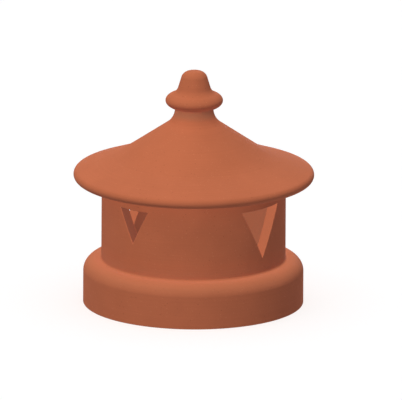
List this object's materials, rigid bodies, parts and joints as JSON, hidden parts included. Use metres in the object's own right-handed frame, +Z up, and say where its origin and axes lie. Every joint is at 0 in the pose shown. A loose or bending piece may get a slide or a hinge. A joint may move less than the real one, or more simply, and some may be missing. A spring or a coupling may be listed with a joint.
{
  "type": "chimney pot",
  "caption": "Hooded terracotta chimney pot: a socketed collar, a drum pierced by triangular vents, and a conical rain hood with a turned finial.",
  "frame": {"origin": "centre of the collar's underside", "axes": "+Z up along the axis of turning; the large vents face +X and -X, the small vents face +Y and -Y"},
  "size_m": [0.328, 0.328, 0.3244],
  "materials": {
    "terracotta": "unglazed, matt, fine grained"
  },
  "bodies": {
    "root": {"cowl": "terracotta"}
  },
  "joints": []
}
